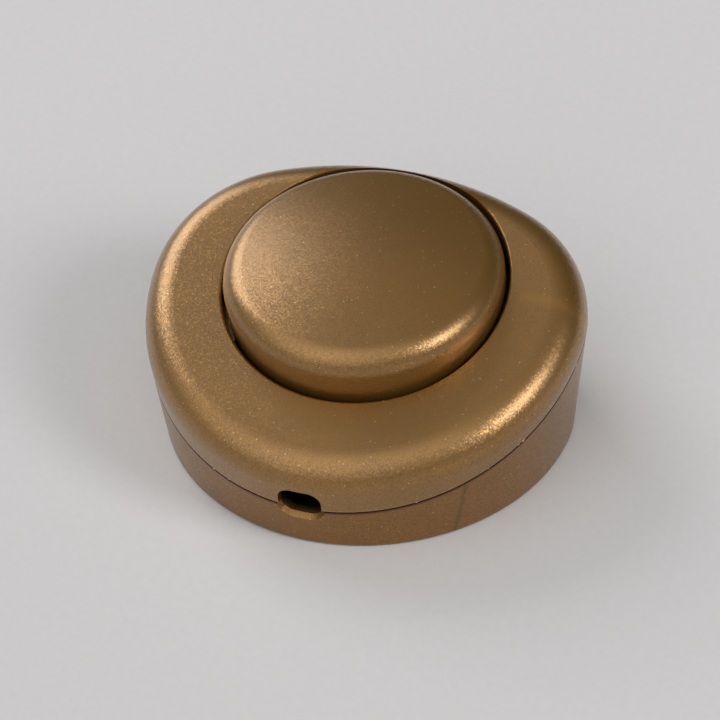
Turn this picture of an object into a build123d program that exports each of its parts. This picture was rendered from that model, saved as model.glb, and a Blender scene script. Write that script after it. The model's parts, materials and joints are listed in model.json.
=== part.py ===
from build123d import *
import math
import os

# In-line foot switch: a wedge-shaped plastic case with a big domed button.
# Millimetres. +X across, -Y the low end with the front cord entry, +Z up.
# The origin is on the floor, under the middle of the case.

# Case outline on the floor, made of arcs that run into each other
FRONT_RADIUS = 29.5
CORNER_RADIUS = 18.2
BACK_RADIUS = 48.5
CORNER_TURN = 89.0
OUTLINE_SHIFT = 4.0

# Case walls
WALL_DRAFT = 6.0
WALL = 2.0
BACK_WALL = 1.1
FLOOR = 2.2
TOP_WALL = 2.2
SHOULDER = 4.7
INNER_SHOULDER = 2.0
FOOT_EDGE = 0.6
ROOT = 0.5

# The two slanting planes: where the shells part, and the top of the cover
PARTING_TILT = 18.5
PARTING_HEIGHT = 16.0
TOP_TILT = 14.0
TOP_HEIGHT = 21.6
GROOVE_HEIGHT = 0.3
GROOVE_DEPTH = 0.45

# Button and its hole, in the slanting frame of the top. The crown leans back from that frame
BUTTON_FORWARD = 4.2
BUTTON_RADIUS = 19.6
BUTTON_GAP = 0.6
RIM_ROUND = 0.4
BUTTON_EDGE_HEIGHT = 4.1
BUTTON_CROWN = 2.0
BUTTON_EDGE_ROUND = 3.5
CROWN_LEAN = 10.5
BUTTON_WALL = 2.0
SPRING_SEAT = 1.7
SKIRT_DEPTH = 3.6
SKIRT_STEP = 2.6
SKIRT_ROOM = 0.3
STROKE = 3.0
COLLAR_WALL = 1.5
COLLAR_DEPTH = 4.2
HOOK_WIDTH = 6.0
HOOK_WALL = 1.8
HOOK_INSET = 0.1
HOOK_REACH = 1.6
HOOK_HEIGHT = 2.0
HOOK_EDGE = 0.6
HOOK_ANGLES = (-25, 205, 270)
BUTTON_RIBS = 6
RIB_WALL = 1.2
RIB_LOW = 0.6

# Clearances
PLAY = 0.3
SEAT = 0.02
THREAD_FIT = 0.08
SCREW_FIT = 0.1
HEAD_CLEARANCE = 0.3

# Ratchet
TEETH = 8
TURN_PER_PRESS = 30.0
ROTOR_RADIUS = 8.2
ROTOR_FLOOR = -17.4
ROTOR_DISC = 1.2
NOTCH_RADIUS = 0.65
NOTCH_DEPTH = 0.35
RAMP_OUTER = 5.0
RAMP_START = 0.6
HUB_RADIUS = 2.6
HUB_DROP = 0.6
FINGER_ANGLE = 12.0
FINGER_END = 1.5
CROWN_ROOM = 0.4
CROWN_RING = 1.5
PIN_RADIUS = 1.5
PIN_FIT = 0.06
PIN_DEPTH = 4.2
PIN_DROP = 0.8
SPINDLE_RADIUS = 4.2
STEM_RADIUS = 4.0
SPIGOT_RADIUS = 2.0
SPIGOT_LENGTH = 1.2
SPIGOT_FIT = 0.05

# Springs and contacts
SPRING_RADIUS = 7.6
SPRING_WIRE = 0.9
SPRING_TURNS = 5
GUIDE_WALL = 1.2
GUIDE_DEPTH = 2.0
STAR_LOBES = 4
STAR_SHEET = 0.6
STAR_RING = 1.0
STAR_FIT = 0.2
STAR_LOBE = 20.0
STRIP_SHEET = 0.6
STRIP_WIDTH = 2.6
TIP_PLACE = 7.1
STRIP_END = 1.1
TIP_RADIUS = 1.1
TIP_HEIGHT = 0.8
LEAF_SHEET = 0.3
LEAF_HEIGHT = 3.0
LEAF_LENGTH = 11.0

# Carrier of the mechanism
CARRIER_RADIUS = 11.0
CARRIER_PLATE = 1.4
CARRIER_DROP = 9.2
LEG_INNER = 9.4
LEG_THICK = 4.0
LEG_WIDTH = 6.0

# Terminals
TERMINAL_X = 16.8
TERMINAL_Y = 6.6
TERMINAL_SIZE = 5.4
TERMINAL_HEIGHT = 4.0
TERMINAL_FLOOR = 0.6
NEUTRAL_Y = 6.8
NEUTRAL_WIDTH = 5.0
NEUTRAL_END = 2.8
WIRE_HOLE = 1.1
WIRE_LEVEL = 2.0
M3_SHANK = 1.5
M3_HEAD = 2.6
M3_HEAD_HEIGHT = 1.8
TERMINAL_SCREW = 3.0
SLOT_WIDTH = 0.8
SLOT_DEPTH = 0.9

# Cord entries and clamps
CORD_WIDTH = 6.2
CORD_HEIGHT = 5.0
CORD_CORNER = 2.0
CORD_Z = 8.0
FLARE = 1.1
CLAMP_FRONT_Y = -19.5
CLAMP_BACK_Y = 19.3
CLAMP_POST_X = 6.5
CLAMP_POST_RADIUS = 2.4
CLAMP_POST_TOP = 7.0
CLAMP_BAR = (17.6, 4.0, 2.2)
CLAMP_RIB = (7.0, 1.6, 3.6)
CLAMP_TOOTH = (7.0, 1.0, 0.6)
CLAMP_SCREW_DEPTH = 4.0

# Screws that close the case, and the two that hold the carrier, from below
CASE_SCREWS = [(-15.4, -14.5), (15.4, -14.5), (-24.8, 9.0), (24.8, 9.0)]
BOSS_RADIUS = 3.9
PILLAR_RADIUS = 2.9
SCREW_SHANK = 1.4
SCREW_HEAD = 2.7
SCREW_HEAD_HEIGHT = 2.0
SCREW_BELOW_PARTING = 8.0
SCREW_ABOVE_PARTING = 4.0
CROSS_LENGTH = 3.2
CROSS_WIDTH = 0.8
CROSS_DEPTH = 1.2
CARRIER_SCREW_LENGTH = 7.0
CARRIER_SCREW_HEAD = 0.8
CARRIER_SCREW_SEAT = 1.0
CARRIER_CROSS_DEPTH = 0.5

# Longer than anything in the model
FAR = 80.0


# Geometry that everything shares

def slanting_plane(height, tilt, forward=0.0):
    """A plane at this height over y = forward, rising towards +Y."""
    angle = math.radians(tilt)
    return Plane(origin=(0, forward, height), x_dir=(1, 0, 0),
                 z_dir=(0, -math.sin(angle), math.cos(angle)))


TOP_AT_BUTTON = TOP_HEIGHT + math.tan(math.radians(TOP_TILT)) * BUTTON_FORWARD
TOP_FRAME = slanting_plane(TOP_AT_BUTTON, TOP_TILT, BUTTON_FORWARD)
PARTING_FRAME = slanting_plane(PARTING_HEIGHT, PARTING_TILT)
HOLE_RADIUS = BUTTON_RADIUS + BUTTON_GAP
DRAFT = math.tan(math.radians(WALL_DRAFT))


def parting_z(y):
    return PARTING_HEIGHT + math.tan(math.radians(PARTING_TILT)) * y


def tilted(shape):
    """Place a shape drawn in the button's frame into the case."""
    return TOP_FRAME.location * shape


def cylinder(radius, low, high):
    return Pos(0, 0, low) * Cylinder(radius, high - low, align=(Align.CENTER, Align.CENTER, Align.MIN))


def ring(inner, outer, low, high):
    """A plain ring round the Z axis, between two levels."""
    return cylinder(outer, low, high) - cylinder(inner, low - 1, high + 1)


def block(x0, x1, y0, y1, z0, z1):
    corner = (Align.MIN, Align.MIN, Align.MIN)
    return Pos(x0, y0, z0) * Box(x1 - x0, y1 - y0, z1 - z0, align=corner)


def slab(low, high):
    """Everything between two levels."""
    return block(-FAR, FAR, -FAR, FAR, low, high)


def case_outline(grow, z):
    """The case outline, grown outwards, as a closed wire at height z."""
    turn = math.radians(CORNER_TURN)
    reach = FRONT_RADIUS - CORNER_RADIUS
    corner_x = reach * math.sin(turn)
    corner_y = OUTLINE_SHIFT - reach * math.cos(turn)
    back_y = corner_y - math.sqrt((BACK_RADIUS - CORNER_RADIUS) ** 2 - corner_x ** 2)
    side = math.degrees(math.atan2(corner_y - back_y, corner_x))
    front = CenterArc((0, OUTLINE_SHIFT), FRONT_RADIUS + grow, -90 - CORNER_TURN, 2 * CORNER_TURN)
    right = CenterArc((corner_x, corner_y), CORNER_RADIUS + grow, -90 + CORNER_TURN,
                      side + 90 - CORNER_TURN)
    back = CenterArc((0, back_y), BACK_RADIUS + grow, side, 180 - 2 * side)
    left = CenterArc((-corner_x, corner_y), CORNER_RADIUS + grow, 180 - side,
                     side + 90 - CORNER_TURN)
    return Pos(0, 0, z) * Wire([front.edge(), right.edge(), back.edge(), left.edge()])


def drafted_form(inset, low, shoulder):
    """The case form, set in by a wall, between a floor height and the slanting top."""
    low_wire = case_outline(DRAFT * low - inset, low)
    high_wire = case_outline(DRAFT * FAR - inset, FAR)
    form = Solid.make_loft([low_wire, high_wire], ruled=True)
    drop = TOP_WALL if inset else 0
    form = form - tilted(slab(-drop, 2 * FAR))
    top = form.faces().sort_by(Axis(TOP_FRAME.origin, TOP_FRAME.z_dir))[-1]
    return fillet(top.edges(), shoulder)


def below_parting(shape):
    return shape - PARTING_FRAME.location * slab(0, 2 * FAR)


def above_parting(shape):
    return shape - PARTING_FRAME.location * slab(-2 * FAR, 0)


def cord_section(y, grow):
    """The cord entry's cross-section at y."""
    face = RectangleRounded(CORD_WIDTH + 2 * grow, CORD_HEIGHT + 2 * grow, CORD_CORNER + grow)
    return Plane((0, y, CORD_Z), x_dir=(1, 0, 0), z_dir=(0, 1, 0)) * face


def cord_tunnel(y0, y1):
    """The cord entry, swept along Y."""
    return extrude(cord_section(y0, 0), y1 - y0)


def cord_flare():
    """The lower lip of the front entry, which widens towards the outside like a funnel."""
    wall_y = OUTLINE_SHIFT - FRONT_RADIUS - DRAFT * CORD_Z
    outer = cord_section(wall_y - FLARE / 2, FLARE)
    inner = cord_section(wall_y + FLARE, 0)
    return loft([outer, inner])


OUTER_FORM = drafted_form(0, 0, SHOULDER)
INNER_FORM = drafted_form(WALL, FLOOR, INNER_SHOULDER)
CASE_BOX = OUTER_FORM.bounding_box()
CENTRE_SHIFT = -round(CASE_BOX.center().Y, 2)


# Levels in the button's frame, from the top plane downwards

PRESS_SLOPE = STROKE / TURN_PER_PRESS
PITCH = 360 / TEETH
RAMP_HEIGHT = PRESS_SLOPE * PITCH
RAMP_BASE = ROTOR_FLOOR + ROTOR_DISC
RAMP_TOP = RAMP_BASE + RAMP_HEIGHT
CROWN_LOW = RAMP_TOP + STROKE + CROWN_ROOM
CROWN_HIGH = CROWN_LOW + CROWN_RING
PIN_TOP = RAMP_TOP - PIN_DROP
PIN_BOTTOM = ROTOR_FLOOR - PIN_DEPTH
CARRIER_TOP = -CARRIER_DROP
STAR_LOW = RAMP_BASE
STAR_HIGH = STAR_LOW + STAR_SHEET
TIP_LOW = STAR_HIGH + PLAY
STRIP_LOW = TIP_LOW + TIP_HEIGHT
STRIP_HIGH = STRIP_LOW + STRIP_SHEET
TERMINAL_LOW = STRIP_LOW - TERMINAL_HEIGHT
SKIRT_LOW = -SKIRT_DEPTH


# Shells

def floor_pad(x, half_x, half_y):
    """A pad on the case floor under a terminal, its top parallel to the rotor."""
    pad = tilted(block(x - half_x, x + half_x, -half_y, half_y, -2 * FAR, TERMINAL_LOW))
    return pad & slab(FLOOR - ROOT, FAR)


def base_shell():
    shell = below_parting(OUTER_FORM)
    foot = shell.faces().sort_by(Axis.Z)[0]
    shell = fillet(foot.edges(), FOOT_EDGE)
    shell -= INNER_FORM
    for x, y in CASE_SCREWS:
        boss = Pos(x, y, 0) * cylinder(BOSS_RADIUS, FLOOR - ROOT, parting_z(y) + BOSS_RADIUS)
        shell += below_parting(boss) & OUTER_FORM
    shell += spindle_boss()
    shell -= tilted(cylinder(PIN_RADIUS + SEAT, PIN_BOTTOM - SEAT, 0))
    half = TERMINAL_SIZE / 2
    shell += floor_pad(TERMINAL_X, half, TERMINAL_Y + half)
    shell += floor_pad(-TERMINAL_X, NEUTRAL_WIDTH / 2, NEUTRAL_Y + NEUTRAL_END)
    for y in (CLAMP_FRONT_Y, CLAMP_BACK_Y):
        shell += clamp_bed(y)
        for x in (-CLAMP_POST_X, CLAMP_POST_X):
            shell -= Pos(x, y, 0) * cylinder(M3_SHANK + THREAD_FIT,
                                             CLAMP_POST_TOP - CLAMP_SCREW_DEPTH - ROOT, FAR / 2)
    shell -= button_room()
    shell -= parting_groove()
    for x, y in CASE_SCREWS:
        shell -= case_screw_hole(x, y)
    for x, y in carrier_screw_places():
        shell -= Pos(x, y, 0) * cylinder(SCREW_SHANK + SCREW_FIT, -1, FLOOR + 1)
        shell -= Pos(x, y, 0) * cylinder(SCREW_HEAD + HEAD_CLEARANCE, -1, CARRIER_SCREW_SEAT)
    shell -= cord_tunnel(-FAR, CLAMP_FRONT_Y)
    shell -= cord_tunnel(CLAMP_BACK_Y, FAR)
    shell -= cord_flare()
    return shell


def clamp_bed(y):
    """Two screw posts and, between them, the rib that the cord is pressed on."""
    length, width, height = CLAMP_RIB
    bed = block(-length / 2, length / 2, y - width / 2, y + width / 2, FLOOR - ROOT, height)
    for x in (-CLAMP_POST_X, CLAMP_POST_X):
        bed += Pos(x, y, 0) * cylinder(CLAMP_POST_RADIUS, FLOOR - ROOT, CLAMP_POST_TOP)
    return bed


def spindle_boss():
    """A slanting boss on the floor that holds the rotor's pin."""
    boss = tilted(cylinder(SPINDLE_RADIUS, -2 * FAR, ROTOR_FLOOR - PLAY))
    return boss & slab(FLOOR - ROOT, FAR)


def button_room():
    """The space that the pressed button needs in the high back wall."""
    room = tilted(cylinder(BUTTON_RADIUS + SKIRT_ROOM, SKIRT_LOW - STROKE - SKIRT_ROOM, 0))
    return room & drafted_form(BACK_WALL, FLOOR, SHOULDER - BACK_WALL)


def parting_groove():
    """A fine shadow groove round the outside, under the cover's edge."""
    band = PARTING_FRAME.location * slab(-GROOVE_HEIGHT, GROOVE_HEIGHT)
    return band - drafted_form(GROOVE_DEPTH, 0, SHOULDER - GROOVE_DEPTH)


def case_screw_hole(x, y):
    head_z = parting_z(y) - SCREW_BELOW_PARTING
    hole = cylinder(SCREW_SHANK + SCREW_FIT, -1, parting_z(y) + BOSS_RADIUS)
    hole += cylinder(SCREW_HEAD + HEAD_CLEARANCE, -1, head_z)
    return Pos(x, y, 0) * hole


def top_cover():
    shell = above_parting(OUTER_FORM - INNER_FORM)
    collar = tilted(cylinder(HOLE_RADIUS + COLLAR_WALL, -COLLAR_DEPTH, -TOP_WALL / 2))
    shell += above_parting(collar & OUTER_FORM)
    shell -= tilted(cylinder(HOLE_RADIUS, -2 * COLLAR_DEPTH, FAR))
    shell -= tilted(rim_cutter())
    for x, y in CASE_SCREWS:
        pillar = Pos(x, y, 0) * cylinder(PILLAR_RADIUS, 0, FAR)
        pillar = pillar & tilted(slab(-2 * FAR, -TOP_WALL / 2))
        shell += above_parting(pillar & OUTER_FORM)
        shell -= Pos(x, y, 0) * cylinder(SCREW_SHANK + THREAD_FIT, 0, parting_z(y) + SCREW_ABOVE_PARTING)
    shell -= cord_tunnel(-FAR, CLAMP_FRONT_Y)
    return shell


def rim_cutter():
    """What the rounded edge takes off round the button's hole."""
    outer = HOLE_RADIUS + RIM_ROUND
    start = (outer, 0)
    end = (HOLE_RADIUS, -RIM_ROUND)
    arc = RadiusArc(start, end, -RIM_ROUND)
    rest = Polyline(end, (HOLE_RADIUS - 1, -RIM_ROUND), (HOLE_RADIUS - 1, 1), (outer, 1), start)
    return revolve(Plane.XZ * make_face(arc.edges() + rest.edges()), Axis.Z)


# Button

CROWN_ANGLE = math.radians(CROWN_LEAN)
CROWN_SPHERE = (BUTTON_RADIUS ** 2 + BUTTON_CROWN ** 2) / (2 * BUTTON_CROWN)


def crown_ball(inset):
    """The big sphere that shapes the top of the button, set in by a wall."""
    drop = CROWN_SPHERE - BUTTON_CROWN
    centre = (0, -drop * math.sin(CROWN_ANGLE), BUTTON_EDGE_HEIGHT - drop * math.cos(CROWN_ANGLE))
    return Pos(*centre) * Rot(90, 0, 0) * Sphere(CROWN_SPHERE - inset)


def crowned_cylinder(radius, low, inset, edge_round):
    """A cylinder whose top is cut by the sphere and rounded at its edge."""
    form = Rot(0, 0, 45) * cylinder(radius, low, FAR / 2) & crown_ball(inset)
    side = form.faces().filter_by(GeomType.CYLINDER)[0]
    edge = side.edges().sort_by(Axis.Z)[-1]
    return fillet(edge, edge_round)


def foot_button():
    cap = crowned_cylinder(BUTTON_RADIUS, SKIRT_LOW, 0, BUTTON_EDGE_ROUND)
    cap -= crowned_cylinder(BUTTON_RADIUS - BUTTON_WALL, SKIRT_LOW - 1, BUTTON_WALL,
                            BUTTON_EDGE_ROUND - BUTTON_WALL)
    cap += button_inside() & crown_ball(BUTTON_WALL / 2)
    cap += cylinder(SPIGOT_RADIUS, CROWN_HIGH - SPIGOT_LENGTH, CROWN_HIGH)
    for angle in HOOK_ANGLES:
        cap += Rot(0, 0, angle) * button_hook()
    return tilted(cap) - skirt_step()


def button_inside():
    """The stem, the spring's seat with its guide, and the ribs, up into the crown."""
    guide_in = SPRING_RADIUS + SPRING_WIRE
    guide_out = guide_in + GUIDE_WALL
    inside = cylinder(STEM_RADIUS, CROWN_HIGH, FAR / 2)
    inside += ring(SPRING_RADIUS - SPRING_WIRE, guide_out, SPRING_SEAT, FAR / 2)
    inside += ring(guide_in, guide_out, SPRING_SEAT - GUIDE_DEPTH, SPRING_SEAT + ROOT)
    for i in range(BUTTON_RIBS):
        rib = block(guide_out - ROOT, BUTTON_RADIUS - BUTTON_WALL + ROOT, -RIB_WALL / 2, RIB_WALL / 2,
                    RIB_LOW, FAR / 2)
        inside += Rot(0, 0, 360 / BUTTON_RIBS * (i + 0.5)) * rib
    return inside


def button_hook():
    """A hook that hangs from the skirt and catches under the cover's collar."""
    top = -COLLAR_DEPTH - PLAY
    low = top - HOOK_HEIGHT
    outer = BUTTON_RADIUS - HOOK_INSET
    inner = outer - HOOK_WALL
    tip = outer + HOOK_REACH
    root = SKIRT_LOW + HOOK_EDGE
    section = Polygon((inner, root), (outer, root), (outer, top), (tip, top), (tip, top - HOOK_EDGE),
                      (outer + PLAY, low), (inner, low), align=None)
    spread = math.degrees(HOOK_WIDTH / BUTTON_RADIUS)
    return Rot(0, 0, -spread / 2) * revolve(Plane.XZ * section, Axis.Z, spread)


def skirt_step():
    """What the skirt loses at the back, to pass the case wall when it is pressed."""
    lift = TOP_FRAME.z_dir * STROKE
    limit = BACK_WALL + SKIRT_ROOM
    room = Pos(*lift) * drafted_form(limit, FLOOR, SHOULDER - limit)
    return tilted(cylinder(BUTTON_RADIUS + 1, SKIRT_LOW - 1, -SKIRT_STEP)) - room


def return_spring():
    low = CARRIER_TOP + SPRING_WIRE / 2 + SEAT
    high = SPRING_SEAT - SPRING_WIRE / 2 - SEAT
    path = Helix(pitch=(high - low) / SPRING_TURNS, height=high - low, radius=SPRING_RADIUS)
    section = Plane(origin=path @ 0, z_dir=path % 0) * Circle(SPRING_WIRE / 2)
    coil = sweep(section, path=path, is_frenet=True)
    return tilted(Pos(0, 0, low) * coil)


# Ratchet

def screw_wedge(inner, outer, start, stop, low_at_start, high_at_start, low_slope, high_slope):
    """A wedge round the axis whose ends are screw surfaces, lofted from radial sections."""
    steps = max(2, math.ceil((stop - start) / 8))
    sections = []
    for i in range(steps + 1):
        angle = math.radians(start + (stop - start) * i / steps)
        low = low_at_start + low_slope * (stop - start) * i / steps
        high = high_at_start + high_slope * (stop - start) * i / steps
        corners = [(inner, low), (outer, low), (outer, high), (inner, high)]
        points = [Vector(r * math.cos(angle), r * math.sin(angle), z) for r, z in corners]
        sections.append(Wire.make_polygon(points, close=True))
    return Solid.make_loft(sections, ruled=True)


def ratchet_rotor():
    rotor = cylinder(ROTOR_RADIUS, ROTOR_FLOOR, RAMP_BASE)
    notch = Pos(ROTOR_RADIUS - NOTCH_DEPTH + NOTCH_RADIUS, 0, 0) * cylinder(
        NOTCH_RADIUS, ROTOR_FLOOR - 1, RAMP_BASE + 1)
    for i in range(TEETH):
        rotor -= Rot(0, 0, PITCH * i) * notch
    rotor += cylinder(HUB_RADIUS, RAMP_BASE, RAMP_TOP - HUB_DROP)
    ramp = screw_wedge(HUB_RADIUS - PLAY, RAMP_OUTER, RAMP_START, PITCH, RAMP_BASE - PLAY,
                       RAMP_BASE + RAMP_START * PRESS_SLOPE, 0, PRESS_SLOPE)
    for i in range(TEETH):
        rotor += Rot(0, 0, PITCH * i) * ramp
    rotor -= cylinder(PIN_RADIUS + PIN_FIT, ROTOR_FLOOR - 1, 0)
    return tilted(rotor)


def push_crown():
    crown = ring(SPIGOT_RADIUS + SPIGOT_FIT, RAMP_OUTER, CROWN_LOW, CROWN_HIGH)
    stop = PITCH - FINGER_END
    start = stop - FINGER_ANGLE
    low = RAMP_BASE + start * PRESS_SLOPE + PLAY
    finger = screw_wedge(HUB_RADIUS + PLAY, RAMP_OUTER, start, stop, low, CROWN_LOW + PLAY,
                         PRESS_SLOPE, 0)
    for i in range(TEETH):
        crown += Rot(0, 0, PITCH * i) * finger
    return tilted(crown)


def rotor_pin():
    return tilted(cylinder(PIN_RADIUS, PIN_BOTTOM, PIN_TOP))


def contact_star():
    inner = RAMP_OUTER + STAR_FIT
    star = ring(inner, inner + STAR_RING, STAR_LOW + SEAT, STAR_HIGH)
    lobe = screw_wedge(inner + STAR_RING / 2, ROTOR_RADIUS - SCREW_FIT, -STAR_LOBE / 2, STAR_LOBE / 2,
                       STAR_LOW + SEAT, STAR_HIGH, 0, 0)
    for i in range(STAR_LOBES):
        star += Rot(0, 0, 360 / STAR_LOBES * i) * lobe
    return tilted(star)


def detent_spring():
    """A leaf on the left leg, with a nose that points at the notches in the rotor's rim."""
    x = -LEG_INNER
    mid = ROTOR_FLOOR + ROTOR_DISC / 2
    low = mid - LEAF_HEIGHT / 2
    high = mid + LEAF_HEIGHT / 2
    leaf = block(x + SEAT, x + LEAF_SHEET, -LEAF_LENGTH / 2, LEAF_LENGTH / 2, low, high)
    nose = Pos(x + LEAF_SHEET, 0, 0) * cylinder(NOTCH_RADIUS, low, high)
    leaf += nose & block(x + LEAF_SHEET / 2, 0, -1, 1, low, high)
    return tilted(leaf)


# Carrier and contacts

def mechanism_carrier():
    carrier = ring(RAMP_OUTER + 2 * PLAY, CARRIER_RADIUS, CARRIER_TOP - CARRIER_PLATE, CARRIER_TOP)
    for side in (-1, 1):
        x0, x1 = sorted((side * LEG_INNER, side * (LEG_INNER + LEG_THICK)))
        carrier += block(x0, x1, -LEG_WIDTH / 2, LEG_WIDTH / 2, -2 * FAR, CARRIER_TOP)
    carrier = tilted(carrier) & slab(FLOOR, FAR)
    for x, y in carrier_screw_places():
        carrier -= Pos(x, y, 0) * cylinder(SCREW_SHANK + THREAD_FIT, 0,
                                           CARRIER_SCREW_SEAT + CARRIER_SCREW_LENGTH + PLAY)
    return carrier


def carrier_screw_places():
    """Where the legs of the carrier stand on the floor."""
    x = LEG_INNER + LEG_THICK / 2
    y = BUTTON_FORWARD + (TOP_AT_BUTTON - FLOOR) * math.tan(math.radians(TOP_TILT))
    return [(-x, y), (x, y)]


def live_contact(side):
    """A brass strip from over the star out to its terminal; side is -1 or 1 along Y."""
    tip = TIP_PLACE * math.sin(math.radians(45))
    half = TERMINAL_SIZE / 2
    y0 = side * tip - STRIP_WIDTH / 2
    y = side * TERMINAL_Y
    strip = block(tip - STRIP_END, TERMINAL_X + half, y0, y0 + STRIP_WIDTH, STRIP_LOW, STRIP_HIGH)
    strip += block(TERMINAL_X - half, TERMINAL_X + half, y - half, y + half, STRIP_LOW, STRIP_HIGH)
    strip -= Pos(TERMINAL_X, y, 0) * cylinder(M3_SHANK + THREAD_FIT, -FAR, 0)
    return tilted(strip)


def contact_tips():
    tip = TIP_PLACE * math.sin(math.radians(45))
    rivets = [tilted(Pos(tip, side * tip, 0) * cylinder(TIP_RADIUS, TIP_LOW, STRIP_LOW - SEAT))
              for side in (-1, 1)]
    return Compound(children=rivets)


def clamp_block(x, y0, y1, half, screws):
    """A brass block with a wire hole along it and a threaded hole for each screw."""
    body = block(x - half, x + half, y0, y1, TERMINAL_LOW + SEAT, STRIP_LOW - SEAT)
    wire = Rot(90, 0, 0) * Cylinder(WIRE_HOLE, 2 * FAR)
    body -= Pos(x, 0, TERMINAL_LOW + WIRE_LEVEL) * wire
    for y in screws:
        body -= Pos(x, y, 0) * cylinder(M3_SHANK + THREAD_FIT, TERMINAL_LOW + TERMINAL_FLOOR, 0)
    return tilted(body)


def live_terminals():
    half = TERMINAL_SIZE / 2
    places = (-TERMINAL_Y, TERMINAL_Y)
    return Compound(children=[clamp_block(TERMINAL_X, y - half, y + half, half, [y]) for y in places])


def neutral_link():
    end = NEUTRAL_Y + NEUTRAL_END
    return clamp_block(-TERMINAL_X, -end, end, NEUTRAL_WIDTH / 2, (-NEUTRAL_Y, NEUTRAL_Y))


def slotted_screw(seat, length):
    """A cheese-head screw along Z, its head sitting at the seat level."""
    top = seat + M3_HEAD_HEIGHT
    screw = cylinder(M3_SHANK, seat - length, seat)
    screw += cylinder(M3_HEAD, seat, top)
    return screw - block(-M3_HEAD, M3_HEAD, -SLOT_WIDTH / 2, SLOT_WIDTH / 2, top - SLOT_DEPTH, top)


def terminal_screws(x, places, seat):
    return Compound(children=[tilted(Pos(x, y, 0) * slotted_screw(seat, TERMINAL_SCREW)) for y in places])


# Cord clamps and screws

def cord_clamp(y):
    """A bar across the cord, with a tooth along its underside."""
    length, width, thick = CLAMP_BAR
    tooth_length, tooth_width, tooth_depth = CLAMP_TOOTH
    bar = block(-length / 2, length / 2, y - width / 2, y + width / 2,
                CLAMP_POST_TOP, CLAMP_POST_TOP + thick)
    bar += block(-tooth_length / 2, tooth_length / 2, y - tooth_width / 2, y + tooth_width / 2,
                 CLAMP_POST_TOP - tooth_depth, CLAMP_POST_TOP + thick)
    for x in (-CLAMP_POST_X, CLAMP_POST_X):
        bar -= Pos(x, y, 0) * cylinder(M3_SHANK + SCREW_FIT, 0, FAR)
    return bar


def cord_clamp_screws():
    seat = CLAMP_POST_TOP + CLAMP_BAR[2]
    screw = slotted_screw(seat, CLAMP_BAR[2] + CLAMP_SCREW_DEPTH)
    return Compound(children=[Pos(x, y, 0) * screw for y in (CLAMP_FRONT_Y, CLAMP_BACK_Y)
                              for x in (-CLAMP_POST_X, CLAMP_POST_X)])


def cross_screw(seat, length, head, recess):
    """A screw from below: head under the seat, shank upwards, a cross recess in the head."""
    low = seat - head
    screw = cylinder(SCREW_SHANK, seat, seat + length) + cylinder(SCREW_HEAD, low, seat)
    slot = block(-CROSS_LENGTH / 2, CROSS_LENGTH / 2, -CROSS_WIDTH / 2, CROSS_WIDTH / 2,
                 low, low + recess)
    return screw - slot - Rot(0, 0, 90) * slot


def housing_screws():
    screws = []
    length = SCREW_BELOW_PARTING + SCREW_ABOVE_PARTING - PLAY
    for x, y in CASE_SCREWS:
        seat = parting_z(y) - SCREW_BELOW_PARTING - SEAT
        screws.append(Pos(x, y, 0) * cross_screw(seat, length, SCREW_HEAD_HEIGHT, CROSS_DEPTH))
    return Compound(children=screws)


def carrier_screws():
    screw = cross_screw(CARRIER_SCREW_SEAT, CARRIER_SCREW_LENGTH, CARRIER_SCREW_HEAD, CARRIER_CROSS_DEPTH)
    return Compound(children=[Pos(x, y, 0) * screw for x, y in carrier_screw_places()])


NODES = {
    "base_shell": base_shell,
    "top_cover": top_cover,
    "foot_button": foot_button,
    "return_spring": return_spring,
    "push_crown": push_crown,
    "ratchet_rotor": ratchet_rotor,
    "rotor_pin": rotor_pin,
    "contact_star": contact_star,
    "detent_spring": detent_spring,
    "mechanism_carrier": mechanism_carrier,
    "carrier_screws": carrier_screws,
    "live_in_contact": lambda: live_contact(-1),
    "live_out_contact": lambda: live_contact(1),
    "contact_tips": contact_tips,
    "live_terminals": live_terminals,
    "live_terminal_screws": lambda: terminal_screws(TERMINAL_X, (-TERMINAL_Y, TERMINAL_Y), STRIP_HIGH),
    "neutral_link": neutral_link,
    "neutral_terminal_screws": lambda: terminal_screws(-TERMINAL_X, (-NEUTRAL_Y, NEUTRAL_Y), STRIP_LOW),
    "front_cord_clamp": lambda: cord_clamp(CLAMP_FRONT_Y),
    "rear_cord_clamp": lambda: cord_clamp(CLAMP_BACK_Y),
    "cord_clamp_screws": cord_clamp_screws,
    "housing_screws": housing_screws,
}

os.makedirs("parts", exist_ok=True)
for name, make in NODES.items():
    shape = Pos(0, CENTRE_SHIFT, 0) * make()
    export_step(shape, f"parts/{name}.step")
    box = shape.bounding_box()
    print(f"{name}: {shape.volume:.1f} mm3, z {box.min.Z:.2f} to {box.max.Z:.2f}")
print("centre shift", CENTRE_SHIFT)
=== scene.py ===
# %% [markdown]
# A foot switch in gold-bronze plastic
#
# This file dresses a packed construction model of an in-line foot switch: a wedge-shaped case
# of two shells with a big domed button in its slanting top. The model gives every piece at its
# real size. Here each visible surface gets the finish of the real plastic, brass or steel, and
# the scene gets the light and the camera of a plain product photograph.

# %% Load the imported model
import bpy
import json
import math
from mathutils import Matrix, Vector


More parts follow.
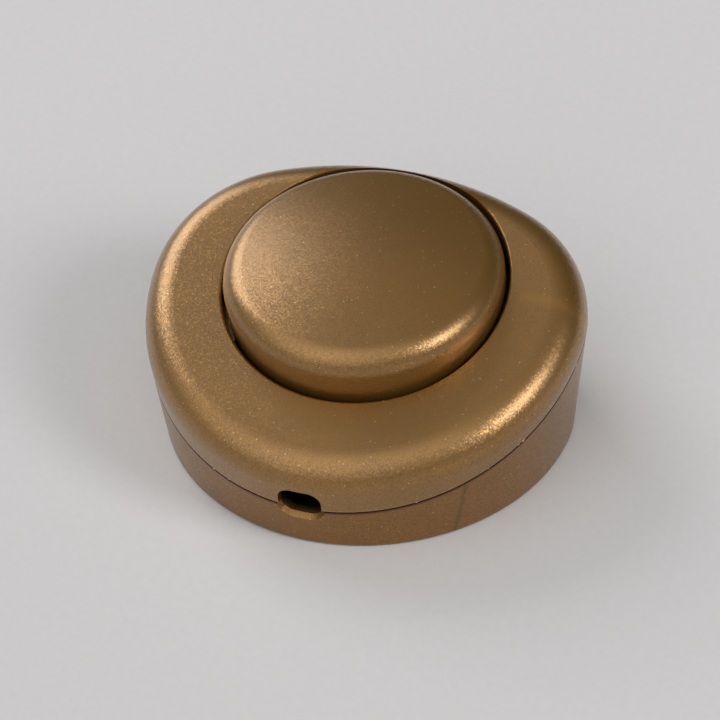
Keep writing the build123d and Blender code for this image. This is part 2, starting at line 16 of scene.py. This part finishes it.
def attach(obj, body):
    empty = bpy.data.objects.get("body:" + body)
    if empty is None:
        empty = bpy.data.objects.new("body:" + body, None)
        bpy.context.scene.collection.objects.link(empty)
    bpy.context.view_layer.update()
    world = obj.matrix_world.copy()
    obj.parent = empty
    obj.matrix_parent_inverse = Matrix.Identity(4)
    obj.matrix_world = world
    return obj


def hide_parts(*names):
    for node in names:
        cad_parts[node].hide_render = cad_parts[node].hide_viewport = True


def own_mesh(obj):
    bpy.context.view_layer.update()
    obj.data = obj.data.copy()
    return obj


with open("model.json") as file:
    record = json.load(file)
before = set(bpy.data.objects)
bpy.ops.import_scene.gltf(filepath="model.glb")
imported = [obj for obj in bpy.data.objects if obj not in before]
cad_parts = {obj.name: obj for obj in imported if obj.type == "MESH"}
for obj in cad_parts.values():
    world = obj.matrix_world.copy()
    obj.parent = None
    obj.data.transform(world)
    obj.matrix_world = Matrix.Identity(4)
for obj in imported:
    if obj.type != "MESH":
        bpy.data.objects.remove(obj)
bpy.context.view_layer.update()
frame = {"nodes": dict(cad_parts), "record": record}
nodes = frame["nodes"]
MM = 0.001
print("pieces in the frame:", len(nodes))

# %% [markdown]
# The camera
#
# The photograph looks down on the switch from in front of its cord entry, a little to the
# right. A long lens keeps the outlines nearly parallel. The camera stands on a sphere round the
# point it looks at, which makes azimuth, height angle and roll three plain numbers.

# %% Camera
CAMERA_AZIMUTH = 20.84
CAMERA_HEIGHT = 42.55
CAMERA_ROLL = 3.6
CAMERA_DISTANCE = 500 * MM
CAMERA_LENS = 175.0
SENSOR = 36.0
LOOK_RIGHT = -0.41 * MM
LOOK_UP = 7.36 * MM
CLIP_START = 10 * MM
PLAN_CENTRE = Vector((0.0, 1.53 * MM, 0.0))


def place_camera():
    """Stand the camera on its sphere, turned to the point it looks at."""
    azimuth = math.radians(CAMERA_AZIMUTH)
    height = math.radians(CAMERA_HEIGHT)
    back = Vector((math.sin(azimuth) * math.cos(height),
                   -math.cos(azimuth) * math.cos(height), math.sin(height)))
    right = Vector((math.cos(azimuth), math.sin(azimuth), 0.0))
    up = back.cross(right)
    target = PLAN_CENTRE + right * LOOK_RIGHT + up * LOOK_UP
    turn = Matrix((right, up, back)).transposed().to_4x4()
    roll = Matrix.Rotation(math.radians(-CAMERA_ROLL), 4, "Z")
    data = bpy.data.cameras.new("camera")
    data.lens = CAMERA_LENS
    data.sensor_width = SENSOR
    data.clip_start = CLIP_START
    camera = bpy.data.objects.new("camera", data)
    camera.matrix_world = Matrix.Translation(target + back * CAMERA_DISTANCE) @ turn @ roll
    bpy.context.scene.collection.objects.link(camera)
    bpy.context.scene.camera = camera
    return camera


camera = place_camera()
print("camera at", [round(v, 3) for v in camera.matrix_world.translation])

# %% [markdown]
# Colours and node helpers
#
# Colours are written in sRGB hex, and one function turns them into the
# linear values that the shader works with. A second function adds any shader node, sets its
# options and its inputs, and links what it is given, so each material stays a short list.
# Three more build the masks: a ramp between two values, a band round one, and the product of two.
# The last one mixes two colours by such a mask.


# %% Colour and node helpers
def linear(hex_colour):
    """sRGB hex to a linear RGBA colour."""
    channels = [int(hex_colour[i:i + 2], 16) / 255 for i in (1, 3, 5)]
    return [c / 12.92 if c <= 0.04045 else ((c + 0.055) / 1.055) ** 2.4 for c in channels] + [1.0]


def add(tree, kind, settings=None, **inputs):
    """Add one node. Inputs are sockets by name: a value is set, another socket is linked."""
    node = tree.nodes.new(kind)
    for name, value in (settings or {}).items():
        setattr(node, name, value)
    for name, value in inputs.items():
        key = int(name[1:]) if name[0] == "i" and name[1:].isdigit() else name.replace("_", " ")
        if isinstance(value, bpy.types.NodeSocket):
            tree.links.new(value, node.inputs[key])
        else:
            node.inputs[key].default_value = value
    return node


def new_material(name):
    """An empty material: its tree, and the Principled shader already joined to the output."""
    material = bpy.data.materials.new(name)
    material.use_nodes = True
    tree = material.node_tree
    tree.nodes.clear()
    shader = tree.nodes.new("ShaderNodeBsdfPrincipled")
    output = tree.nodes.new("ShaderNodeOutputMaterial")
    tree.links.new(shader.outputs["BSDF"], output.inputs["Surface"])
    return material, tree, shader


def ramp(tree, value, start, end, top=1.0):
    """0 up to the start, rising to the top value at the end."""
    return add(tree, "ShaderNodeMapRange", Value=value, From_Min=start, From_Max=end,
               To_Max=top).outputs[0]


def band(tree, value, centre, reach):
    """1 where the value meets the centre, falling to 0 at the reach."""
    off = add(tree, "ShaderNodeMath", {"operation": "SUBTRACT"}, i0=value, i1=centre)
    size = add(tree, "ShaderNodeMath", {"operation": "ABSOLUTE"}, i0=off.outputs[0])
    return ramp(tree, size.outputs[0], reach, 0.0)


def both(tree, first, second):
    """The product of two masks."""
    return add(tree, "ShaderNodeMath", {"operation": "MULTIPLY"}, i0=first, i1=second).outputs[0]


def colour_mix(tree, share, low, high):
    """From the low colour to the high one by the share. Each is a socket or an sRGB hex."""
    ends = [linear(colour) if isinstance(colour, str) else colour for colour in (low, high)]
    return add(tree, "ShaderNodeMix", {"data_type": "RGBA"}, i0=share, i6=ends[0],
               i7=ends[1]).outputs[2]


print("the middle grey of the screen is", round(linear("#808080")[0], 3), "of white")

# %% [markdown]
# The studio
#
# The switch stands on a sheet of pale grey paper between two soft lamps: a wide one to the left
# and behind, and a narrower one to the right. Their mirror images are the broad sheen on the
# left of the button and the bright streaks on its right edge and on the right shoulder of the
# case, and their shadows are the two faint ones. The room is brightest over the camera and dark
# behind the switch. The sky rises from the one to the other in two soft steps, with an even part
# between them that the flat top of the case mirrors. Together they light the paper at just the
# level at which it shows its own colour.

# %% Studio
PAPER_DARK = "#c6c4c4"
PAPER_LIGHT = "#cdcccc"
PAPER_FIBRE = 1.2 * MM
PAPER_REACH = 3.0
PAPER_ROUGHNESS = 0.9
LAMP_DISTANCE = 0.75
LAMPS = [
    {"name": "left_softbox", "azimuth": -121, "height": 34, "size": 0.46, "watts": 2.5},
    {"name": "right_softbox", "azimuth": 80, "height": 36, "size": 0.28, "watts": 2.5},
]
BRIGHT_SIDE = (-0.22, -0.60, 0.77)
SKY_DARK = 0.05
SKY_RISES = [(0.08, 0.36, 0.27), (0.64, 1.0, 1.15)]


def direction(azimuth, height):
    """A unit vector: azimuth from the front towards the right, height above the floor."""
    azimuth = math.radians(azimuth)
    height = math.radians(height)
    return Vector((math.sin(azimuth) * math.cos(height), -math.cos(azimuth) * math.cos(height),
                   math.sin(height)))


def build_floor():
    """A square of paper under the switch, with a faint fibre in its tone."""
    mesh = bpy.data.meshes.new("paper_floor")
    reach = PAPER_REACH
    corners = [(-reach, -reach, 0), (reach, -reach, 0), (reach, reach, 0), (-reach, reach, 0)]
    mesh.from_pydata(corners, [], [(0, 1, 2, 3)])
    floor = bpy.data.objects.new("paper_floor", mesh)
    bpy.context.scene.collection.objects.link(floor)
    material, tree, shader = new_material("pale_grey_paper")
    place = add(tree, "ShaderNodeTexCoord").outputs["Object"]
    fibre = add(tree, "ShaderNodeTexNoise", Vector=place, Scale=1 / PAPER_FIBRE, Detail=4.0)
    tone = colour_mix(tree, fibre.outputs["Fac"], PAPER_DARK, PAPER_LIGHT)
    tree.links.new(tone, shader.inputs["Base Color"])
    shader.inputs["Roughness"].default_value = PAPER_ROUGHNESS
    mesh.materials.append(material)


def add_softbox(name, azimuth, height, size, watts):
    """A square lamp that faces the switch."""
    light = bpy.data.lights.new(name, "AREA")
    light.shape = "SQUARE"
    light.size = size
    light.energy = watts
    lamp = bpy.data.objects.new(name, light)
    towards = direction(azimuth, height)
    lamp.location = towards * LAMP_DISTANCE
    lamp.rotation_euler = (-towards).to_track_quat("-Z", "Y").to_euler()
    bpy.context.scene.collection.objects.link(lamp)


def build_sky():
    """Dark behind the switch, bright over the camera, in steps of (start, end, rise)."""
    world = bpy.data.worlds.new("studio_room")
    bpy.context.scene.world = world
    world.use_nodes = True
    tree = world.node_tree
    ray = add(tree, "ShaderNodeTexCoord").outputs["Generated"]
    towards = add(tree, "ShaderNodeVectorMath", {"operation": "DOT_PRODUCT"}, i0=ray, i1=BRIGHT_SIDE)
    level = SKY_DARK
    for start, end, rise in SKY_RISES:
        step = ramp(tree, towards.outputs["Value"], start, end, rise)
        level = add(tree, "ShaderNodeMath", i0=step, i1=level).outputs[0]
    background = tree.nodes["Background"]
    background.inputs["Color"].default_value = (1, 1, 1, 1)
    tree.links.new(level, background.inputs["Strength"])


build_floor()
for lamp in LAMPS:
    add_softbox(**lamp)
build_sky()
bpy.context.scene.view_settings.view_transform = "Standard"
print("lamps:", [lamp["name"] for lamp in LAMPS])

# %% [markdown]
# Marks of the mouldings, with painted highlight and shade
#
# Each shell has its own marks. The cover has a painted highlight along its edge where it meets
# the base, and a yellowish flow mark on its right. The base has a painted shade along the groove
# under the parting line, and a faint weld line in its front right wall. Both have painted shade
# inside the cord entry. A mark is a mask in Object coordinates with a colour, so it stays where
# it is whatever the camera does.

# %% Masks for the marks
PARTING_TILT = math.radians(18.5)
PARTING_LEVEL = 15.97 * MM
PARTING_NORMAL = (0.0, -math.sin(PARTING_TILT), math.cos(PARTING_TILT))
PARTING_OFFSET = PARTING_LEVEL * math.cos(PARTING_TILT)
# Painted shade: a dark brown band on the base just under the parting groove, wider than the groove.
GROOVE_REACH = 0.6 * MM
GROOVE_SOFTNESS = 0.15
GROOVE_SHADE_COLOUR = "#5f3510"
# Painted highlight: a pale band along the cover's lower edge, in patches of the cloud noise.
EDGE_REACH = 0.2 * MM
EDGE_HIGHLIGHT_PATCHES = (0.4, 0.7)
EDGE_HIGHLIGHT_STRENGTH = 0.7
EDGE_HIGHLIGHT_COLOUR = "#cfae8c"
# Painted shade inside the cord entry of both shells, near black from its mouth inwards.
ENTRY_HALF_WIDTH = 3.4 * MM
ENTRY_SOFTNESS = 0.05
ENTRY_TOP = 10.9 * MM
ENTRY_TOP_SOFT = 0.2 * MM
ENTRY_FRONT = -10 * MM
ENTRY_INSIDE = -25.1 * MM
ENTRY_DARK = -24.3 * MM
ENTRY_STRENGTH = 0.85
ENTRY_SHADE_COLOUR = "#120c06"
FLOW_MARK_Y = 6.3 * MM
FLOW_MARK_REACH = 1.5 * MM
FLOW_MARK_X = 21.5 * MM
FLOW_MARK_STRENGTH = 0.5
FLOW_MARK_COLOUR = "#a5751f"
WELD_X = 19.4 * MM
WELD_LEAN = 0.19
WELD_REACH = 0.45 * MM
WELD_FRONT = -5 * MM
WELD_STRENGTH = 0.45
WELD_COLOUR = "#3d2812"


def parting_distance(tree, place):
    """How far a point lies along the normal of the parting plane."""
    return add(tree, "ShaderNodeVectorMath", {"operation": "DOT_PRODUCT"}, i0=place,
               i1=PARTING_NORMAL).outputs["Value"]


def entry_shade(tree, axes):
    """Painted shade inside the front cord entry, deeper from its mouth inwards."""
    across = ramp(tree, band(tree, axes["X"], 0.0, ENTRY_HALF_WIDTH), 0.0, ENTRY_SOFTNESS)
    low = ramp(tree, axes["Z"], ENTRY_TOP, ENTRY_TOP - ENTRY_TOP_SOFT)
    front = ramp(tree, axes["Y"], 0.0, ENTRY_FRONT)
    inwards = ramp(tree, axes["Y"], ENTRY_INSIDE, ENTRY_DARK, ENTRY_STRENGTH)
    return both(tree, both(tree, across, low), both(tree, front, inwards))


def cover_marks(tree, place, axes, patches):
    """The painted highlight along the edge, in patches, the flow mark and the painted shade in the
    entry.
    """
    # Painted highlight on the cover's edge at the parting line, broken into patches.
    edge = band(tree, parting_distance(tree, place), PARTING_OFFSET, EDGE_REACH)
    patchy_highlight = ramp(tree, patches, *EDGE_HIGHLIGHT_PATCHES, EDGE_HIGHLIGHT_STRENGTH)
    flow = band(tree, axes["Y"], FLOW_MARK_Y, FLOW_MARK_REACH)
    outside = ramp(tree, axes["X"], FLOW_MARK_X, FLOW_MARK_X + FLOW_MARK_REACH,
                   FLOW_MARK_STRENGTH)
    return [(both(tree, edge, patchy_highlight), EDGE_HIGHLIGHT_COLOUR), (both(tree, flow, outside), FLOW_MARK_COLOUR),
            (entry_shade(tree, axes), ENTRY_SHADE_COLOUR)]


def base_marks(tree, place, axes, patches):
    """The weld line, the painted shade along the groove and the painted shade in the entry."""
    # Painted shade along the parting groove, reaching past the groove onto the base wall.
    groove = band(tree, parting_distance(tree, place), PARTING_OFFSET, GROOVE_REACH)
    line = add(tree, "ShaderNodeMath", {"operation": "MULTIPLY_ADD"}, i0=axes["Z"], i1=WELD_LEAN,
               i2=WELD_X)
    weld = band(tree, axes["X"], line.outputs[0], WELD_REACH)
    front = ramp(tree, axes["Y"], 0.0, WELD_FRONT, WELD_STRENGTH)
    groove_shade = ramp(tree, groove, 0.0, GROOVE_SOFTNESS)
    return [(both(tree, weld, front), WELD_COLOUR), (groove_shade, GROOVE_SHADE_COLOUR),
            (entry_shade(tree, axes), ENTRY_SHADE_COLOUR)]


print("parting plane", round(PARTING_LEVEL / MM, 2), "mm up, turned", PARTING_NORMAL)

# %% [markdown]
# Gold-bronze plastic
#
# The shells and the button are ABS moulded with a bronze pigment and fine metal flake. Under the
# skin lie flakes about a sixth of a millimetre across, each tilted its own way and a little
# lighter or darker than the next, which gives the sheen its sparkle. Over them lies clear
# plastic with the fine satin grain of the mould. It is what mirrors the pale paper in the walls
# and along the far edge of the button, and turns the brown a little pink there. Coarser pale
# flecks about a millimetre apart and slow clouds keep the large faces from looking flat.

# %% Moulded bronze
FLAKE = 0.17 * MM
FLAKE_TILT = 0.16
FLAKE_ROUGHNESS = 0.33
METAL_LOW = 0.55
METAL_HIGH = 0.82
FLAKE_CLOUDING = 0.3
CLOUD = 11 * MM
FLECK_SPACING = 1.1 * MM
FLECK_SIZE = 0.085
FLECK_COLOUR = "#c3a36c"
GRAIN = 0.3 * MM
GRAIN_STRENGTH = 0.25
GRAIN_HEIGHT = 0.03 * MM
COAT_IOR = 1.55
COAT_ROUGHNESS = 0.36


def bronze_plastic(name, dark, light, coat, marks):
    """Tilted flakes in a brown body under a satin skin, with the marks of one moulding."""
    material, tree, shader = new_material(name)
    place = add(tree, "ShaderNodeTexCoord").outputs["Object"]
    axes = add(tree, "ShaderNodeSeparateXYZ", Vector=place).outputs
    flake = add(tree, "ShaderNodeTexVoronoi", Vector=place, Scale=1 / FLAKE)
    cloud = add(tree, "ShaderNodeTexNoise", Vector=place, Scale=1 / CLOUD, Detail=3.0)
    pick = add(tree, "ShaderNodeMix", i0=FLAKE_CLOUDING, i2=flake.outputs["Color"],
               i3=cloud.outputs["Fac"])
    colour = colour_mix(tree, pick.outputs[0], dark, light)
    metal = add(tree, "ShaderNodeMapRange", Value=pick.outputs[0], To_Min=METAL_LOW, To_Max=METAL_HIGH)
    tree.links.new(metal.outputs[0], shader.inputs["Metallic"])
    fleck = add(tree, "ShaderNodeTexVoronoi", Vector=place, Scale=1 / FLECK_SPACING)
    is_fleck = add(tree, "ShaderNodeMath", {"operation": "LESS_THAN"},
                   i0=fleck.outputs["Distance"], i1=FLECK_SIZE)
    masks = [(is_fleck.outputs[0], FLECK_COLOUR)] + marks(tree, place, axes, cloud.outputs["Fac"])
    for mask, tint in masks:
        colour = colour_mix(tree, mask, colour, tint)
    tree.links.new(colour, shader.inputs["Base Color"])
    centred = add(tree, "ShaderNodeVectorMath", {"operation": "SUBTRACT"},
                  i0=flake.outputs["Color"], i1=(0.5, 0.5, 0.5))
    tilt = add(tree, "ShaderNodeVectorMath", {"operation": "SCALE"}, i0=centred.outputs[0],
               Scale=FLAKE_TILT)
    surface = add(tree, "ShaderNodeNewGeometry").outputs["Normal"]
    tilted = add(tree, "ShaderNodeVectorMath", {"operation": "ADD"}, i0=surface, i1=tilt.outputs[0])
    facing = add(tree, "ShaderNodeVectorMath", {"operation": "NORMALIZE"}, i0=tilted.outputs[0])
    tree.links.new(facing.outputs[0], shader.inputs["Normal"])
    grain = add(tree, "ShaderNodeTexNoise", Vector=place, Scale=1 / GRAIN, Detail=2.0)
    bump = add(tree, "ShaderNodeBump", Height=grain.outputs["Fac"], Strength=GRAIN_STRENGTH,
               Distance=GRAIN_HEIGHT)
    tree.links.new(bump.outputs["Normal"], shader.inputs["Coat Normal"])
    shader.inputs["Roughness"].default_value = FLAKE_ROUGHNESS
    shader.inputs["Coat Weight"].default_value = coat
    shader.inputs["Coat IOR"].default_value = COAT_IOR
    shader.inputs["Coat Roughness"].default_value = COAT_ROUGHNESS
    return material


case_bronze = bronze_plastic("bronze_abs", "#644413", "#ab7a2b", 1.0, cover_marks)
base_bronze = bronze_plastic("bronze_abs_base", "#644216", "#a4732f", 0.5, base_marks)
print("bronze:", case_bronze.name, "and", base_bronze.name)

# %% [markdown]
# Nylon, steel, brass and silver
#
# What lies inside shows when the shells are hidden or moved. The nylon parts are milky and a
# little cloudy. The springs and the pin are drawn wire, the screws are zinc plated, and the
# contacts are stamped brass that has dulled in patches. Each gets a fine pattern in its colour
# and its roughness, and a shallow bump in the scale of its real surface.

# %% Inner materials
WORKED_STRENGTH = 0.1
WORKED_HEIGHT = 0.02 * MM


def worked_surface(name, dark, light, metallic, rough_low, rough_high, pattern, stretch=(1, 1, 1)):
    """A solid with a noise pattern of a real size in its colour, roughness and bump."""
    material, tree, shader = new_material(name)
    place = add(tree, "ShaderNodeTexCoord").outputs["Object"]
    drawn = add(tree, "ShaderNodeMapping", Vector=place, Scale=stretch)
    noise = add(tree, "ShaderNodeTexNoise", Vector=drawn.outputs[0], Scale=1 / pattern, Detail=4.0)
    colour = colour_mix(tree, noise.outputs["Fac"], dark, light)
    tree.links.new(colour, shader.inputs["Base Color"])
    rough = add(tree, "ShaderNodeMapRange", Value=noise.outputs["Fac"], To_Min=rough_low,
                To_Max=rough_high)
    tree.links.new(rough.outputs[0], shader.inputs["Roughness"])
    bump = add(tree, "ShaderNodeBump", Height=noise.outputs["Fac"], Strength=WORKED_STRENGTH,
               Distance=WORKED_HEIGHT)
    tree.links.new(bump.outputs["Normal"], shader.inputs["Normal"])
    shader.inputs["Metallic"].default_value = metallic
    return material


slot_material = {
    "case_plastic": case_bronze,
    "base_plastic": base_bronze,
    "inner_plastic": worked_surface("natural_nylon", "#cfc9b8", "#e2ddd0", 0.0, 0.42, 0.58, 4 * MM),
    "spring_steel": worked_surface("drawn_steel", "#9c9d9e", "#c6c7c8", 1.0, 0.22, 0.38, 1 * MM,
                                   (1, 1, 0.2)),
    "screw_steel": worked_surface("zinc_plate", "#a9adb0", "#cdd0d2", 1.0, 0.28, 0.46, 0.8 * MM),
    "contact_brass": worked_surface("stamped_brass", "#a8853f", "#d2b269", 1.0, 0.24, 0.42, 2 * MM),
    "contact_silver": worked_surface("silver_alloy", "#bdbdba", "#dfdfdc", 1.0, 0.2, 0.35, 0.6 * MM),
}
for subpart in frame["record"]["subparts"]:
    mesh = nodes[subpart["node"]].data
    mesh.materials.clear()
    mesh.materials.append(slot_material[subpart["material_slot"]])
print("materials by slot:", {slot: material.name for slot, material in slot_material.items()})

# %% [markdown]
# A stand-in for the slanting return spring
#
# The return spring stands on the slanting carrier, and the button presses it square to that
# slant. A copy of its coil stands in for it here and goes with the case. Its free length is
# measured along the button's axis.

# %% Slanting return spring
PRESS_AXIS = Vector((0.0, -0.2419219, 0.9702957))


def plain_object(name, mesh):
    """A new object in the scene that holds this mesh."""
    obj = bpy.data.objects.new(name, mesh)
    bpy.context.scene.collection.objects.link(obj)
    return obj


def slanting_spring():
    """The stand-in for the spring, and its length when the button is up."""
    coil = plain_object("pressed_return_spring", nodes["return_spring"].data.copy())
    heights = [vertex.co.dot(PRESS_AXIS) for vertex in coil.data.vertices]
    foot = min(heights)
    length = max(heights) - foot
    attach(coil, "case")
    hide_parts("return_spring")
    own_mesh(coil)
    return length


print("free length of the spring:", round(slanting_spring() / MM, 2), "mm")

# %% [markdown]
# Flash on the parting line
#
# Where two moulds meet, a little plastic squeezes out and breaks off in slivers. The photograph
# shows a few pale ones along the line between the cover and the base. A node tree sets them out:
# it takes the cover's lower edge as a curve, walks along it in equal steps, and at some of the
# steps, chosen at random, lays a sliver along the edge with a length of its own. First come the
# two things that it works with: the edge and one sliver. The edge stays open at the cord entry,
# where there is nothing for a sliver to sit on.

# %% The seam and one sliver
SEAM_BINS = 120
SEAM_TOLERANCE = 0.02 * MM
SLIVER_LENGTH = 0.9 * MM
SLIVER_DEPTH = 0.2 * MM
SLIVER_HEIGHT = 0.13 * MM
SLIVER_POINTS = 6


def seam_points():
    """The outer lower edge of the cover, from one side of the cord entry round to the other."""
    normal = Vector(PARTING_NORMAL)
    outer = {}
    for vertex in nodes["top_cover"].data.vertices:
        place = vertex.co
        if abs(place.dot(normal) - PARTING_OFFSET) > SEAM_TOLERANCE:
            continue
        if abs(place.x) < ENTRY_HALF_WIDTH and place.y < 0:
            continue
        turn = math.atan2(place.x, -place.y) % (2 * math.pi)
        key = int(turn / (2 * math.pi) * SEAM_BINS)
        if key not in outer or place.xy.length > outer[key].xy.length:
            outer[key] = place.copy()
    return [outer[key] for key in sorted(outer)]


def sliver_mesh():
    """A splinter along X with two sharp ends, thickest a little off its middle."""
    half = SLIVER_LENGTH / 2
    thick = -half / 3
    points = [(-half, 0, 0), (half, 0, 0), (thick, SLIVER_DEPTH, 0), (thick, 0, SLIVER_HEIGHT),
              (thick, -SLIVER_DEPTH, 0), (thick, 0, -SLIVER_HEIGHT)]
    faces = []
    for i in range(4):
        here, after = 2 + i, 2 + (i + 1) % 4
        faces += [(0, after, here), (1, here, after)]
    mesh = bpy.data.meshes.new("flash_sliver")
    mesh.from_pydata(points, [], faces)
    return mesh


seam_line = seam_points()
print("seam points:", len(seam_line))

# %% [markdown]
# The node tree for the flash
#
# The tree's inputs are the step between places, the chance that a place gets a sliver, the
# shortest and the longest sliver as shares of the full one, and the seed of the random choice.
# The result is turned into a plain mesh that belongs to the case.

# %% Flash slivers by a node tree
FLASH_SETTINGS = {"Step": 0.9 * MM, "Chance": 0.09, "Shortest": 0.35, "Longest": 1.2, "Seed": 7}


def flash_tree(sliver, material):
    """Curve, equal steps, a random choice of them, a sliver on each."""
    tree = bpy.data.node_groups.new("flash_slivers", "GeometryNodeTree")
    face = tree.interface
    face.new_socket("Geometry", in_out="INPUT", socket_type="NodeSocketGeometry")
    face.new_socket("Geometry", in_out="OUTPUT", socket_type="NodeSocketGeometry")
    for name in ("Step", "Chance", "Shortest", "Longest"):
        face.new_socket(name, in_out="INPUT", socket_type="NodeSocketFloat")
    face.new_socket("Seed", in_out="INPUT", socket_type="NodeSocketInt")
    given = tree.nodes.new("NodeGroupInput").outputs
    curve = add(tree, "GeometryNodeMeshToCurve", Mesh=given["Geometry"])
    steps = add(tree, "GeometryNodeResampleCurve", {"mode": "LENGTH"}, Curve=curve.outputs["Curve"],
                Length=given["Step"])
    along = add(tree, "GeometryNodeInputTangent")
    turn = add(tree, "FunctionNodeAlignRotationToVector", {"axis": "X"}, Vector=along.outputs[0])
    chosen = add(tree, "FunctionNodeRandomValue", {"data_type": "BOOLEAN"},
                 Probability=given["Chance"], Seed=given["Seed"])
    length = add(tree, "FunctionNodeRandomValue", {"data_type": "FLOAT"}, i2=given["Shortest"],
                 i3=given["Longest"], Seed=given["Seed"])
    shape = add(tree, "GeometryNodeObjectInfo", Object=sliver)
    laid = add(tree, "GeometryNodeInstanceOnPoints", Points=steps.outputs["Curve"],
               Selection=chosen.outputs[3], Instance=shape.outputs["Geometry"],
               Rotation=turn.outputs[0], Scale=length.outputs[1])
    solid = add(tree, "GeometryNodeRealizeInstances", Geometry=laid.outputs[0])
    coloured = add(tree, "GeometryNodeSetMaterial", Geometry=solid.outputs[0], Material=material)
    result = tree.nodes.new("NodeGroupOutput")
    tree.links.new(coloured.outputs[0], result.inputs[0])
    return tree


def flash_slivers():
    """Run the tree on the seam and keep its result as one piece of the case."""
    seam = bpy.data.meshes.new("seam")
    seam.from_pydata(seam_line, [(i, i + 1) for i in range(len(seam_line) - 1)], [])
    source = plain_object("seam", seam)
    sliver = plain_object("flash_sliver", sliver_mesh())
    material = worked_surface("thin_flash", "#a98656", "#dcc8a4", 0.3, 0.3, 0.45, 0.3 * MM)
    tree = flash_tree(sliver, material)
    modifier = source.modifiers.new("flash", "NODES")
    modifier.node_group = tree
    for socket in tree.interface.items_tree:
        if socket.in_out == "INPUT" and socket.name in FLASH_SETTINGS:
            modifier[socket.identifier] = FLASH_SETTINGS[socket.name]
    ready = source.evaluated_get(bpy.context.evaluated_depsgraph_get())
    mesh = bpy.data.meshes.new_from_object(ready)
    mesh.name = "parting_line_flash"
    bpy.data.objects.remove(source)
    bpy.data.objects.remove(sliver)
    flash = plain_object("parting_line_flash", mesh)
    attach(flash, "case")
    return flash


flash = flash_slivers()
print("flash slivers:", len(flash.data.vertices) // SLIVER_POINTS)
